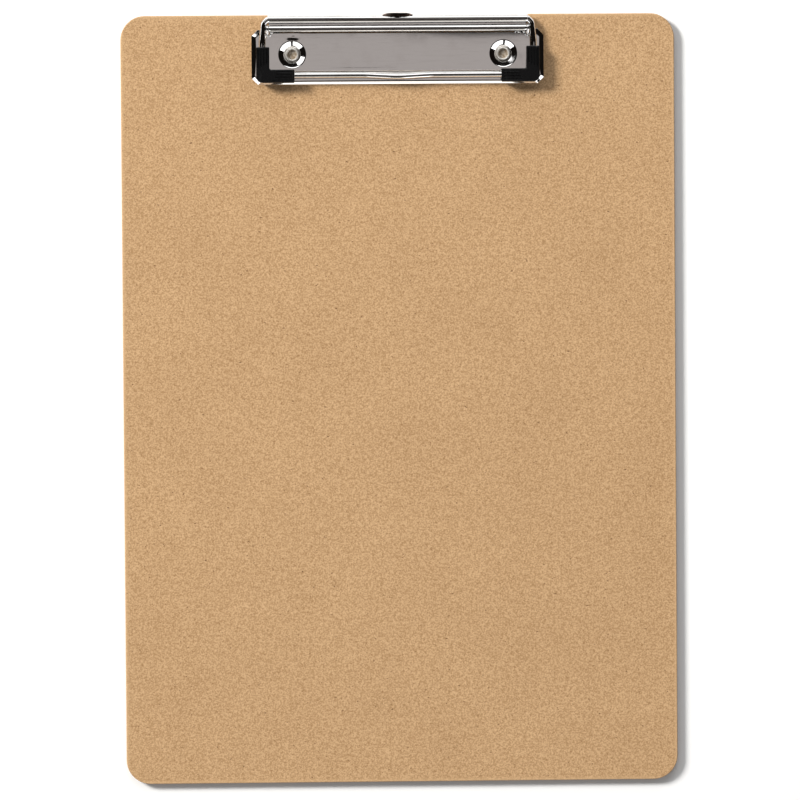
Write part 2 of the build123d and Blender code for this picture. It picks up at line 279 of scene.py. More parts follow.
# The face is painted lighter near its edges, fading out about 1.9 mm in and ragged by the fibre: a painted
# highlight of the eased edge.
ragged_edge = math(tree, "MULTIPLY_ADD", fibre, edge_highlight_ragged, from_edge)
edge_highlight = ramp(tree, ragged_edge, edge_highlight_start, edge_highlight_end, 0.45, 0.0)
face = blend(tree, edge_highlight, face, board_pale)
behind = blend(tree, ramp(tree, spot["Z"], 0.0, back_skin, 0.75, 0.0), face, board_behind)
layers = grain(tree, piece_place(tree, (0.12, 0.12, 1)), layer_size, 0.3, 0.7, 3.0)
sawn = blend(tree, math(tree, "MULTIPLY", layers, 0.45), board_sawn, board_dark)
upper = ramp(tree, spot["Z"], board_thick - 0.9 * edge_ease, board_thick - 0.1 * edge_ease, 1.0, 0.0)
lower = ramp(tree, spot["Z"], 0.1 * edge_ease, 0.9 * edge_ease)
on_side = math(tree, "MULTIPLY", upper, lower)
coarse = math(tree, "ADD", math(tree, "MULTIPLY", pressed_dark, 0.4), on_side)
screen = [math(tree, "SINE", math(tree, "MULTIPLY", spot[axis], 2 * pi / screen_pitch)) for axis in "XY"]
on_back = ramp(tree, spot["Z"], 0.2 * screen_skin, screen_skin, 1.0, 0.0)
screen_print = math(tree, "MULTIPLY", math(tree, "MAXIMUM", *screen), on_back)
fibre_relief = math(tree, "MULTIPLY", math(tree, "SUBTRACT", fibre, pressed_dark), 0.35)
relief = math(tree, "ADD", fibre_relief, screen_print)
feed(tree, shader, {"Base Color": blend(tree, on_side, behind, sawn),
                    "Roughness": ramp(tree, coarse, 0.0, 1.0, 0.5, 0.82)})
lift(tree, shader, math(tree, "MULTIPLY_ADD", layers, on_side, relief), 0.5, board_relief)
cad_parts["board"].material_slots[0].material = hardboard


# ---- base plate ----
# One pressing of thin chromed steel: a flat raised platform with a flange and a sloping skirt round it, two
# dishes for the rivets and, at the rear corners, two ears bent up to hold the hinge pin.

plate_low, plate_high = (np.array(corner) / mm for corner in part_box("base_plate"))
board_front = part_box("board")[1].z / mm
plate_sheet = 0.6
flange_top = board_front + 1.2
platform_top = board_front + 2.4
platform_half = 54.5
platform_front, platform_rear = 135.65, 151.15
rear_corner = 2.2
front_corner = 2.0
flange_rear = 152.75
notch_half = 53.15
plate_corner = 2.6
skirt_run, front_skirt_less = 1.8, 0.55
riser_run = 0.5
patch_x = 34.0
rivet_x, rivet_y = 43.55, 142.45
dish_mouth, dish_floor = 5.85, 2.45
dish_top_corner, dish_floor_corner, dish_round = 5.55, 2.93, 0.28
smudge_size, wipe_size = 9 * mm, 0.6 * mm


def make_plating_group():
    """Bright plating on rolled steel: smudges and faint wiping along X roughen it, and the steel under it is
    not quite flat. Puts out the roughness, a height from 0 to 1 and a mask of the smudges."""
    group = bpy.data.node_groups.new("plating", "ShaderNodeTree")
    for name, value in (("Clean", 0.05), ("Smudged", 0.12), ("Wiped", 0.3), ("Ripple Size", 0.012)):
        group.interface.new_socket(name, in_out="INPUT", socket_type="NodeSocketFloat").default_value = value
    for name in ("Roughness", "Height", "Smudge"):
        group.interface.new_socket(name, in_out="OUTPUT", socket_type="NodeSocketFloat")
    given, result = group.nodes.new("NodeGroupInput"), group.nodes.new("NodeGroupOutput")
    place = piece_place(group)
    smudge = grain(group, place, smudge_size, 0.46, 0.74, 3.0)
    wiped = grain(group, piece_place(group, (0.06, 1, 1)), wipe_size, 0.5, 0.8)
    dusty = math(group, "MULTIPLY_ADD", wiped, given.outputs["Wiped"], smudge)
    spread = math(group, "SUBTRACT", given.outputs["Smudged"], given.outputs["Clean"])
    rough = math(group, "MULTIPLY_ADD", dusty, spread, given.outputs["Clean"])
    ripple = grain(group, piece_place(group, (0.35, 1, 1)), given.outputs["Ripple Size"], 0.2, 0.8, 1.0)
    for name, value in (("Roughness", rough), ("Height", ripple), ("Smudge", dusty)):
        group.links.new(value, result.inputs[name])
    return group


plating_group = make_plating_group()


def plated(name, bright, dulled, clean, smudged, wiped, ripple, ripple_high):
    """A plated metal: its colour where clean and where smudged, its roughness in both, and its ripples."""
    made, tree, shader = finish_material(name, Metallic=1.0)
    sockets = {"Clean": clean, "Smudged": smudged, "Wiped": wiped, "Ripple Size": ripple}
    plating = node_group(tree, plating_group, sockets)
    smudge = math(tree, "MINIMUM", plating["Smudge"], 1.0)
    feed(tree, shader, {"Base Color": blend(tree, smudge, bright, dulled), "Roughness": plating["Roughness"]})
    lift(tree, shader, plating["Height"], 1.0, ripple_high)
    return made


chrome_bright, plate_dulled = (0.87, 0.86, 0.85, 1), (0.835, 0.82, 0.81, 1)
plate_chrome = plated("plate_chrome", chrome_bright, plate_dulled, 0.06, 0.085, 0.8, 14 * mm, 0.008 * mm)


def between(start, end, count):
    """Points at even steps from start up to, and without, end."""
    share = np.linspace(0, 1, count, endpoint=False)[:, None]
    return np.array(start) + share * (np.array(end) - np.array(start))


def quarter_turn(centre, radius, start_angle, end_angle, count):
    """Points on a circle about centre from one angle up to, and without, the other, in degrees."""
    angle = np.radians(np.linspace(start_angle, end_angle, count, endpoint=False))
    return np.array(centre) + radius * np.stack([np.cos(angle), np.sin(angle)], 1)


def right_then_left(right_half):
    """A closed plan loop from its right half, which runs from the rear middle round to the front middle."""
    mirrored = right_half[1:][::-1] * (-1, 1)
    return np.concatenate([right_half, mirrored])


def soft_ramp(x, low, high, ease):
    """Rises from 0 at low to 1 at high in a straight line whose two corners are rounded over +-ease."""
    def corner(t):
        """Zero before the corner and t after it, joined by a parabola over +-ease."""
        inside = np.clip((t + ease) / (2 * ease), 0, 1)
        return np.where(t > ease, t, ease * inside * inside)
    return (corner(x - low) - corner(x - high)) / (high - low)


rear_steps, patch_steps, notch_steps, lip_steps, corner_steps, side_steps = 60, 30, 5, 8, 8, 24
plate_front = plate_low[1]
plate_half = plate_high[0]
outline = right_then_left(np.concatenate([
    between((0, platform_rear), (patch_x, platform_rear), rear_steps),
    between((patch_x, platform_rear), (notch_half, platform_rear), patch_steps),
    between((notch_half, platform_rear), (notch_half, flange_rear), notch_steps),
    between((notch_half, flange_rear), (plate_half - plate_corner, flange_rear), lip_steps),
    between((plate_half - plate_corner, flange_rear), (plate_half, flange_rear - plate_corner), corner_steps),
    between((plate_half, flange_rear - plate_corner), (plate_half, plate_front + plate_corner), side_steps),
    between((plate_half, plate_front + plate_corner), (plate_half - plate_corner, plate_front), corner_steps),
    between((plate_half - plate_corner, plate_front), (patch_x, plate_front), patch_steps),
    between((patch_x, plate_front), (0, plate_front), rear_steps),
    np.array([(0, plate_front)]),
]))
rear_x = platform_half - rear_corner
rear_y = platform_rear - rear_corner
cut_x, side_start = 0.6, 1.0
platform_loop = right_then_left(np.concatenate([
    between((0, platform_rear), (patch_x, platform_rear), rear_steps),
    between((patch_x, platform_rear), (rear_x, platform_rear), patch_steps),
    between((rear_x, platform_rear), (rear_x + cut_x, platform_rear - cut_x), notch_steps),
    between((rear_x + cut_x, platform_rear - cut_x), (platform_half, rear_y), lip_steps),
    between((platform_half, rear_y), (platform_half, rear_y - side_start), corner_steps),
    between((platform_half, rear_y - side_start), (platform_half, platform_front + front_corner), side_steps),
    quarter_turn((platform_half - front_corner, platform_front + front_corner),
                 front_corner, 0, -90, corner_steps),
    between((platform_half - front_corner, platform_front), (patch_x, platform_front), patch_steps),
    between((patch_x, platform_front), (0, platform_front), rear_steps),
    np.array([(0, platform_front)]),
]))
reach = np.linalg.norm(platform_loop - outline, axis=1)
has_flange = np.clip(reach / skirt_run, 0, 1)
faces_front = np.clip((plate_front + 3.5 - outline[:, 1]) / 2.5, 0, 1)
skirt_wide = skirt_run - front_skirt_less * faces_front


def pressed(patch):
    """Draws the raised parts of a patch down from the flat: a crown that falls as the square of the distance
    from the platform's middle line, a broad ripple, and three shallow bruises: behind the left dish, beside
    the right grip and along the front edge."""
    x, y, z = patch[..., 0], patch[..., 1], patch[..., 2]
    middle_y = (platform_front + platform_rear) / 2
    ripple = 0.006 * (1 + np.cos(x / 11.0 + 0.6) * np.cos((y - middle_y) / 3.2))
    crown = 0.0014 * (y - middle_y) ** 2 + ripple
    behind_dish = 0.08 * np.exp(-((x + 43.2) / 1.7) ** 2 - ((y - 149.4) / 0.85) ** 2)
    beside_grip = 0.07 * np.exp(-((x - 51.2) / 1.5) ** 2 - ((y - 143.0) / 3.2) ** 2)
    front_streak = 0.02 * np.exp(-((x + 14.0) / 16.0) ** 4 - ((y - 136.5) / 0.5) ** 2)
    bruises = behind_dish + beside_grip + front_streak
    share = np.clip((z - flange_top) / (platform_top - flange_top), 0, 1)
    return np.stack([x, y, z - share * (crown + bruises)], -1)


def flank():
    """The pressing from the skirt's foot to the platform's edge: rings carried along the straight line from
    the outline to the platform's own loop, at a height made of one rounded ramp for the skirt and one for the
    riser. At the notch, where the two loops nearly meet, it is a plain wall."""
    skirt = np.linspace(0, 1, 16)[None, :] * ((skirt_wide + 0.4) * has_flange)[:, None]
    flat_start = skirt[:, -1:]
    flat_end = np.maximum(reach[:, None] - riser_run - 0.35, flat_start)
    flat = flat_start + (flat_end - flat_start) * np.linspace(0, 1, 8)[None, 1:]
    riser = flat_end + (reach[:, None] - flat_end) * np.linspace(0, 1, 16)[None, 1:]
    along = np.concatenate([skirt, flat, riser], 1)
    share = np.where(reach[:, None] > 0.01, along / np.maximum(reach[:, None], 0.01), 0)
    plan = outline[:, None] + share[..., None] * (platform_loop - outline)[:, None]
    steps = np.linspace(0, 1, along.shape[1])[None, :]
    skirt_rise = (flange_top - board_front) * soft_ramp(along, -0.2, skirt_wide[:, None], 0.3)
    riser_end = reach[:, None] - 0.1
    platform_rise = (platform_top - flange_top) * soft_ramp(along, riser_end - riser_run, riser_end, 0.22)
    height = board_front + skirt_rise + platform_rise
    wall_foot = board_front + plate_sheet
    wall = wall_foot + (platform_top - wall_foot) * soft_ramp(steps, 0.1, 0.9, 0.1)
    mostly = has_flange[:, None]
    height = np.where(reach[:, None] < 0.4, wall, mostly * height + (1 - mostly) * wall)
    return np.concatenate([plan, height[..., None]], 2)


def dished_patch(side):
    """One end of the platform: rays from its outer loop in to the dish's mouth, and on down the dish's turned
    profile. Rings crowd together near the loop and the mouth."""
    quarter = rear_steps + 2 * patch_steps + notch_steps + lip_steps + 2 * corner_steps + side_steps
    rows, flat_rings = 40, 20
    outer = platform_loop[rear_steps:quarter + 1]
    inner_y = (0.5 - 0.5 * np.cos(np.linspace(0, pi, rows + 1)))[1:-1]
    inner_y = platform_front + inner_y * (platform_rear - platform_front)
    inner_line = np.stack([np.full(rows - 1, patch_x), inner_y], 1)
    loop = np.concatenate([outer, inner_line])
    centre = np.array((rivet_x, rivet_y))
    angle = np.arctan2(loop[:, 1] - centre[1], loop[:, 0] - centre[0])
    ray = np.stack([np.cos(angle), np.sin(angle)], 1)
    mouth = centre + ray * dish_mouth
    share = 0.5 - 0.5 * np.cos(np.linspace(0, pi, flat_rings))
    flat = loop[:, None] + share[None, :, None] * (mouth - loop)[:, None]
    radius = np.linspace(dish_mouth, dish_floor, 48)[1:]
    bowl = centre + ray[:, None] * radius[None, :, None]
    plan = np.concatenate([flat, bowl], 1)
    depth = platform_top - board_front - plate_sheet
    bowl_sunk = depth * (1 - soft_ramp(radius, dish_floor_corner, dish_top_corner, dish_round))
    sunk = np.concatenate([np.zeros(flat_rings), bowl_sunk])
    height = np.broadcast_to(platform_top - sunk, plan.shape[:2])
    patch = np.concatenate([plan, height[..., None]], 2)
    return patch * (side, 1, 1)


def platform_middle():
    """The flat between the two dished ends, in straight rows that crowd near its front and rear edges."""
    rear = np.concatenate([platform_loop[:rear_steps + 1], platform_loop[-rear_steps:]])
    rear = rear[np.argsort(rear[:, 0])]
    front = rear * (1, 0) + (0, platform_front)
    rows = 0.5 - 0.5 * np.cos(np.linspace(0, pi, 41))[None, :, None]
    plan = front[:, None] + rows * (rear - front)[:, None]
    return np.concatenate([plan, np.full(plan.shape[:2] + (1,), platform_top)], 2)


def patch_faces(shape, wrap):
    """Quads of a grid of that shape whose first direction closes on itself if wrap is true."""
    rows, columns = shape
    index = np.arange(rows * columns).reshape(rows, columns)
    if wrap:
        index = np.concatenate([index, index[:1]])
    return np.stack([index[:-1, :-1], index[1:, :-1], index[1:, 1:], index[:-1, 1:]], -1).reshape(-1, 4)


def piece_from_patches(name, patches, paint, smooth_angle=40, merge=0.002):
    """One piece from grids of points in millimetres, each given with whether its first direction closes.
    Grids that share edge points are joined, and all faces are turned outwards."""
    points, faces, start = [], [], 0
    for grid, wrap in patches:
        points.append(grid.reshape(-1, 3))
        faces.append(patch_faces(grid.shape[:2], wrap) + start)
        start += len(points[-1])
    points = np.concatenate(points) * mm
    faces = np.concatenate(faces)
    mesh = bpy.data.meshes.new(name)
    mesh.from_pydata(points, [], faces)
    shape = bmesh.new()
    shape.from_mesh(mesh)
    bmesh.ops.remove_doubles(shape, verts=shape.verts, dist=merge * mm)
    bmesh.ops.dissolve_degenerate(shape, edges=shape.edges, dist=1e-7)
    bmesh.ops.recalc_face_normals(shape, faces=shape.faces)
    shape.to_mesh(mesh)
    shape.free()
    mesh.polygons.foreach_set("use_smooth", np.ones(len(mesh.polygons), bool))
    mesh.set_sharp_from_angle(angle=radians(smooth_angle))
    mesh.materials.append(paint)
    piece = bpy.data.objects.new(name, mesh)
    bpy.context.scene.collection.objects.link(piece)
    return piece


ear_inner_x, ear_nose, ear_foot, ear_round = 53.4, 1.7, 3.6, 0.15
pressed_sheet = 0.55 * mm


def hinge_ear(inner_x):
    """One ear as a slab in X: the hull of a round nose about the pin and of its foot, its rim rounded."""
    foot_z = flange_top - 0.25
    foot_rear = flange_rear - skirt_run
    foot_front = foot_rear - ear_foot
    centre = np.array(pin_axis_yz)

    def tangent(point, turn):
        """The angle on the nose at which a line from the point touches it."""
        offset = np.array(point) - centre
        far = np.hypot(*offset)
        return atan2(offset[1], offset[0]) + turn * np.arccos(ear_nose / far)

    start = tangent((foot_rear, foot_z), 1)
    end = tangent((foot_front, foot_z), -1)
    angle = np.linspace(start, end if end > start else end + 2 * pi, 48)
    rim = centre + ear_nose * np.stack([np.cos(angle), np.sin(angle)], 1)
    foot = between((foot_front, foot_z), (foot_rear, foot_z), 12)
    side = np.concatenate([rim, foot, np.array([(foot_rear, foot_z)])])
    middle = side.mean(0)
    turn = np.linspace(0, pi / 2, 5)
    inset, back = ear_round * (1 - np.sin(turn)), ear_round * (1 - np.cos(turn))
    near = [(side - i * (side - middle) / 2, b) for i, b in zip(inset, back)]
    far = [(yz, plate_sheet - b) for yz, b in near[::-1]]
    flat = np.broadcast_to(middle, side.shape)
    rings = [(flat, 0.0)] + near + far + [(flat, plate_sheet)]
    return np.stack([np.concatenate([np.full((len(side), 1), inner_x + x), yz], 1) for yz, x in rings], 1)


pin_axis_yz = tuple((np.array(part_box("hinge_pin")[0]) + np.array(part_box("hinge_pin")[1]))[1:] / 2 / mm)
plate_patches = [(flank(), True), (dished_patch(1), True), (dished_patch(-1), True)]
plate_patches += [(platform_middle(), False)]
plate_patches = [(pressed(patch), wrap) for patch, wrap in plate_patches]
pressing = piece_from_patches("plate_pressing", plate_patches, plate_chrome, 50, 0.01)
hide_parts("base_plate")
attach(pressing, "root")
wall = pressing.modifiers.new("sheet", "SOLIDIFY")
wall.thickness = pressed_sheet
wall.offset = -1

both_ears = [(hinge_ear(ear_inner_x), True), (hinge_ear(-ear_inner_x - plate_sheet), True)]
ears = piece_from_patches("plate_ears", both_ears, plate_chrome)
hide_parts("base_plate")
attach(ears, "root")


# ---- rivets ----
# Semi-tubular nickelled steel rivets: the head sits flush in the board's back and the tube is rolled over in
# the dish.

rivet_head, rivet_shank, rivet_bore, rivet_roll = 4.5, 2.3, 1.9, 2.9
rivet_head_thick = 0.8
rivet_seat = board_front + plate_sheet + 0.03
rivet_roll_high = 0.85
bore_floor = 3.35
# The last of these colours is painted shade: the dark brown inside the bore.
rivet_bright, rivet_dull, bore_painted_shade = (0.86, 0.835, 0.79, 1), (0.52, 0.46, 0.38, 1), (0.25, 0.19, 0.13, 1)
tarnish_size, pit_size, pit_depth = 1.1 * mm, 0.22 * mm, 0.03 * mm

rivet_nickel, tree, shader = finish_material("rivet_nickel")
place = piece_place(tree)
height = node(tree, "SeparateXYZ", {0: place}).outputs["Z"]
below_mouth = ramp(tree, height, 3.5 * mm, 4.05 * mm, 1.0, 0.0)
in_bore = math(tree, "MULTIPLY", below_mouth, ramp(tree, height, 2.0 * mm, 2.1 * mm))
tarnish = grain(tree, place, tarnish_size, 0.35, 0.75, 3.0)
pitted = grain(tree, place, pit_size, 0.5, 0.8)
skin = blend(tree, math(tree, "MULTIPLY", tarnish, 0.5), rivet_bright, rivet_dull)
# Inside the bore the colour is painted shade, a dark brown for the shadow down the blind hole, mixed with the
# tarnish colour by the tarnish mask.
bore_shade = blend(tree, tarnish, bore_painted_shade, rivet_dull)
dull = math(tree, "MULTIPLY_ADD", in_bore, 0.35, math(tree, "MULTIPLY_ADD", tarnish, 0.12, 0.14))
feed(tree, shader, {"Base Color": blend(tree, in_bore, skin, bore_shade), "Roughness": dull,
                    "Metallic": math(tree, "MULTIPLY_ADD", in_bore, -0.4, 0.62)})
lift(tree, shader, pitted, 0.6, pit_depth)


def turned(profile, centre, count, axis="z"):
    """A profile of (radius, height) points turned once about an axis through centre."""
    angle = np.linspace(0, 2 * pi, count, endpoint=False)[:, None]
    radius, height = profile[None, :, 0], profile[None, :, 1]
    a, b, c = radius * np.cos(angle), radius * np.sin(angle), height + 0 * angle
    grid = np.stack([a, b, c] if axis == "z" else [c, a, b], -1)
    return grid + np.array(centre)


def rivet_profile():
    """From the head's middle round its edge, up the shank, over the roll as half an ellipse, down the bore."""
    turn = np.linspace(0, pi / 2, 6)
    head_edge = np.stack([rivet_head - 0.2 + 0.2 * np.sin(turn), 0.2 - 0.2 * np.cos(turn)], 1)
    over = np.linspace(0, pi, 25)
    middle, half = (rivet_roll + rivet_bore) / 2, (rivet_roll - rivet_bore) / 2
    roll_z = rivet_seat + 0.1 + (rivet_roll_high - 0.1) * np.sin(over)
    roll = np.stack([middle + half * np.cos(over), roll_z], 1)
    bore = np.array([(rivet_bore, bore_floor + 0.25), (rivet_bore - 0.15, bore_floor + 0.08),
                     (1.0, bore_floor), (0, bore_floor - 0.1)])
    shank = np.array([(rivet_head, rivet_head_thick), (rivet_shank, rivet_head_thick),
                      (rivet_shank, rivet_seat), (rivet_roll - 0.1, rivet_seat)])
    return np.concatenate([np.array([(0, 0), (2.2, 0)]), head_edge, shank, roll, bore])


for side, name in ((-1, "rivet_left"), (1, "rivet_right")):
    body = turned(rivet_profile(), (side * rivet_x, rivet_y, 0), 72)
    rivet = piece_from_patches("tube_" + name, [(body, True)], rivet_nickel)
    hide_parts(name)
    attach(rivet, "root")


# ---- hinge pin ----
# A steel rod pushed through both ears and the lever's inner roll, and headed over outside each ear.

pin_low, pin_high = (np.array(corner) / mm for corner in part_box("hinge_pin"))
pin_axis = (pin_low + pin_high) / 2
pin_radius = 1.0
pin_head = (pin_high[1] - pin_low[1]) / 2
pin_head_thick = 0.42
pin_bright, pin_dulled = (0.74, 0.73, 0.72, 1), (0.56, 0.53, 0.50, 1)
pin_steel = plated("pin_steel", pin_bright, pin_dulled, 0.14, 0.3, 0.5, 3 * mm, 0.01 * mm)


def pin_profile():
    """Dome, rod and dome, from one end to the other."""
    dome = np.linspace(0, pi / 2, 10)
    shoulder = pin_high[0] - pin_head_thick
    dome_x = shoulder + 0.05 + (pin_head_thick - 0.05) * np.sin(dome)
    right = np.stack([pin_head * np.cos(dome), dome_x], 1)
    right[-1, 0] = 0
    half = np.concatenate([np.array([(pin_radius, 0), (pin_radius, shoulder), (pin_head, shoulder)]), right])
    return np.concatenate([(half * (1, -1))[:0:-1], half])


pin_body = turned(pin_profile(), (0, pin_axis[1], pin_axis[2]), 48, "x")
pin = piece_from_patches("pin_rod", [(pin_body, True)], pin_steel)
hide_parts("hinge_pin")
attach(pin, "root")


# ---- lever ----
# A chromed strip curled up along both long edges: the outer curl holds the bail's ends, the inner one turns
# on the hinge pin, and a lip flared out of the outer curl's crown takes the thumb.

lever_low, lever_high = (np.array(corner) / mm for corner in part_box("lever"))
strip_half = 0.25
web_middle = lever_low[2] + strip_half
outer_curl = 1.5
curl_rear = 158.65
outer_centre = np.array((curl_rear - outer_curl - strip_half, web_middle + outer_curl))
inner_curl = 1.3
inner_centre = np.array((pin_axis[1], web_middle + inner_curl))
curl_turn = 300.0
end_round = 0.12
outer_half = lever_high[0]
inner_half = outer_half - 0.5
# The thumb lip's dark brown plating colour is painted shade, standing for the shadowed gap under the lip; its
# smudged parts are painted a little lighter.
lip_painted_shade, lip_painted_shade_smudged = (0.16, 0.115, 0.095, 1), (0.22, 0.17, 0.145, 1)
lip_painted_shade_chrome = plated("lip_painted_shade_chrome", lip_painted_shade, lip_painted_shade_smudged, 0.2, 0.34, 0.6, 2 * mm, 0.01 * mm)
tab_half = 6.2
tab_tip = np.array((159.2, 8.14))
tab_root_y, tab_root_depth = 158.62, 1.2
tab_wall = 0.42
tab_sunk, tab_root_sunk = 0.55, 0.15
lever_bright, lever_dulled = (0.88, 0.87, 0.86, 1), (0.8, 0.78, 0.76, 1)
lever_chrome = plated("lever_chrome", lever_bright, lever_dulled, 0.03, 0.09, 0.5, 5 * mm, 0.005 * mm)


def strip_line():
    """The strip's middle line in the YZ plane, from the end of the outer curl, over it, along the web and
    round the inner curl, with the half-length of the lever at each point."""
    outer_steps, inner_steps, web_steps = 110, 100, 8
    over = np.radians(np.linspace(-90 + curl_turn, -90, outer_steps))
    outer = outer_centre + outer_curl * np.stack([np.cos(over), np.sin(over)], 1)
    under = np.radians(np.linspace(-90, -90 - curl_turn, inner_steps))
    inner = inner_centre + inner_curl * np.stack([np.cos(under), np.sin(under)], 1)
    web_y = np.linspace(outer[-1, 0], inner[0, 0], web_steps)
    web = np.stack([web_y, np.full(web_steps, web_middle)], 1)[1:-1]
    line = np.concatenate([outer, web, inner])
    taper = np.linspace(outer_half, inner_half, web_steps - 2)
    half = np.concatenate([np.full(outer_steps, outer_half), taper, np.full(inner_steps, inner_half)])
    return line, half


def strip_section(thickness):
    """The closed outline of the strip: its middle line offset to both sides, with round ends."""
    line, half = strip_line()
    along = np.gradient(line, axis=0)
    along /= np.linalg.norm(along, axis=1)[:, None]
    across = np.stack([-along[:, 1], along[:, 0]], 1)
    cap = np.linspace(0, pi, 9)[1:-1][:, None]
    tail = line[-1] + thickness * (np.cos(cap) * across[-1] + np.sin(cap) * along[-1])
    nose = line[0] + thickness * (-np.cos(cap) * across[0] - np.sin(cap) * along[0])
    outline = np.concatenate([line + thickness * across, tail, (line - thickness * across)[::-1], nose])
    return outline, np.concatenate([half, np.full(7, half[-1]), half[::-1], np.full(7, half[0])])


def curled_strip():
    """The section carried along X, drawn in to the middle line over a small round at both ends, with the
    outer curl's crown sunk under the thumb lip."""
    edge = np.linspace(0, pi / 2, 5)
    inset = end_round * (1 - np.sin(edge))
    back = end_round * (1 - np.cos(edge))
    end_thick = np.concatenate([[0.001], strip_half - inset])
    end_back = np.concatenate([[0.0], back])
    rings = []
    for thick, drawn in zip(end_thick, end_back):
        section, half = strip_section(thick)
        rings.append((section, half - drawn))
    middle = np.linspace(-1, 1, 120)[1:-1]
    section, half = strip_section(strip_half)
    left = [np.concatenate([-h[:, None], s], 1) for s, h in rings]
    right = [np.concatenate([h[:, None], s], 1) for s, h in rings[::-1]]
    body = [np.concatenate([((half - end_round) * m)[:, None], section], 1) for m in middle]
    strip = np.stack(left + body + right, 1)
    x, y, z = strip[..., 0], strip[..., 1], strip[..., 2]
    lens = np.sqrt(np.clip(1 - (x / tab_half) ** 2, 0, 1))
    under_lip = (y > tab_root_y - tab_root_depth * lens) & (z > outer_centre[1])
    return np.stack([x, y, z - tab_sunk * np.clip(3 * lens, 0, 1) * under_lip], -1)


def thumb_lip():
    """A lip whose root is an arc across the outer curl's crown and whose tip is nearly straight: a ruled
    surface between the two, given a wall and a rim, with its ends drawn in to a point."""
    across = np.linspace(-1, 1, 41)
    spread = np.sin(across * pi / 2)
    root_y = tab_root_y - tab_root_depth * np.sqrt(np.clip(1 - spread ** 2, 0, 1))
    drop = outer_centre[0] - root_y
    crown_z = outer_centre[1] + np.sqrt(np.clip((outer_curl + strip_half) ** 2 - drop ** 2, 0, None))
    root_z = crown_z - tab_root_sunk
    tip_y = tab_tip[0] - 0.75 * spread ** 6
    tip_z = tab_tip[1] - 0.55 * spread ** 6
    root = np.stack([tab_half * spread, root_y, root_z], 1)
    tip = np.stack([tab_half * spread * 0.97, tip_y, tip_z], 1)
    rise = np.linspace(0, 1, 12)[None, :, None]
    top = root[:, None] + rise * (tip - root)[:, None]
    wall = tab_wall * (1 - 0.6 * spread[:, None] ** 8) * np.sqrt(np.clip(1 - rise[..., 0] ** 6, 0.03, 1))
    under = top.copy()
    under[..., 2] -= wall
    under[..., 1] -= 0.12
    rim = (top[:, -1:] + under[:, -1:]) / 2 + (0, 0.05, 0)
    loop = np.concatenate([top, rim, under[:, ::-1], top[:, :1]], 1)
    ends = np.broadcast_to(loop.mean(1, keepdims=True), loop.shape)
    return np.concatenate([ends[:1], loop, ends[-1:]])


for name, grid, wrap, paint in (("curled_lever", curled_strip(), True, lever_chrome),
                                ("thumb_lip", thumb_lip(), False, lip_painted_shade_chrome)):
    lever = piece_from_patches(name, [(grid, wrap)], paint, 35)
    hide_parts("lever")
    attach(lever, "lever")


# ---- wire bail ----
# Chromed spring wire bent to a U. Its two ends turn inside the lever's outer curl and its front run, bowed a
# little in the middle, presses the paper on the flange.

bail_low, bail_high = (np.array(corner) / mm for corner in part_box("wire_bail"))
wire_radius = 1.2
arm_x = bail_high[0] - wire_radius
front_y = bail_low[1] + wire_radius + 0.39
front_z = bail_high[2] - wire_radius
crank_y = 149.15
arm_top_x = outer_half + 1.75
bow_forward, bow_rise = 0.75, 0.6
wire_dulled = (0.78, 0.76, 0.74, 1)
wire_chrome = plated("wire_chrome", chrome_bright, wire_dulled, 0.03, 0.09, 0.3, 4 * mm, 0.004 * mm)
bail_bends = [
    ((outer_half - 12.0, *outer_centre), 0.0),
    ((outer_half - 0.1, *outer_centre), 1.3),
    ((arm_top_x, outer_centre[0] - 1.9, outer_centre[1] + 0.1), 1.8),
    ((arm_x + 0.1, crank_y - 2.0, front_z), 12.0),
    ((arm_x, front_y, front_z), 4.0),
    ((14.0, front_y, front_z), 50.0),
    ((0.0, front_y - bow_forward, front_z + bow_rise), 50.0),
]


def rounded_route(corners, spacing):
    """Points at even steps along straight runs joined by arcs, each corner given with its bend radius."""
    places = np.array([place for place, _ in corners], float)
    radii = [radius for _, radius in corners]
    runs = [places[:1]]
    for here in range(1, len(places) - 1):
        back = places[here - 1] - places[here]
        ahead = places[here + 1] - places[here]
        back, ahead = back / np.linalg.norm(back), ahead / np.linalg.norm(ahead)
        half = np.arccos(np.clip(back @ ahead, -1, 1)) / 2
        middle = (back + ahead) / np.linalg.norm(back + ahead)
        centre = places[here] + middle * radii[here] / np.sin(half)
        start = places[here] + back * radii[here] / np.tan(half)
        sweep = pi - 2 * half
        first = (start - centre) / radii[here]
        second = -back
        steps = max(6, int(np.ceil(radii[here] * sweep / spacing)))
        turn = np.linspace(0, sweep, steps)[:, None]
        runs.append(centre + radii[here] * (np.cos(turn) * first + np.sin(turn) * second))
    runs.append(places[-1:])
    line = np.concatenate(runs)
    step = np.concatenate([[0], np.cumsum(np.linalg.norm(np.diff(line, axis=0), axis=1))])
    even = np.linspace(0, step[-1], int(step[-1] / spacing))
    return np.stack([np.interp(even, step, line[:, axis]) for axis in range(3)], 1)


def round_bar(line, radius, count):
    """A circle carried along a line, with domed ends. It stands square to the line, its side level."""
    along = np.gradient(line, axis=0)
    along /= np.linalg.norm(along, axis=1)[:, None]
    side = np.cross((0, 0, 1), along)
    side /= np.linalg.norm(side, axis=1)[:, None]
    up = np.cross(along, side)
    step = np.concatenate([[0], np.cumsum(np.linalg.norm(np.diff(line, axis=0), axis=1))])
    to_end = np.minimum(step, step[-1] - step)
    girth = radius * np.sqrt(np.clip(1 - np.clip(1 - to_end / radius, 0, 1) ** 2, 0, 1))
    angle = np.linspace(0, 2 * pi, count, endpoint=False)[:, None, None]
    return line[None] + girth[None, :, None] * (np.cos(angle) * side[None] + np.sin(angle) * up[None])


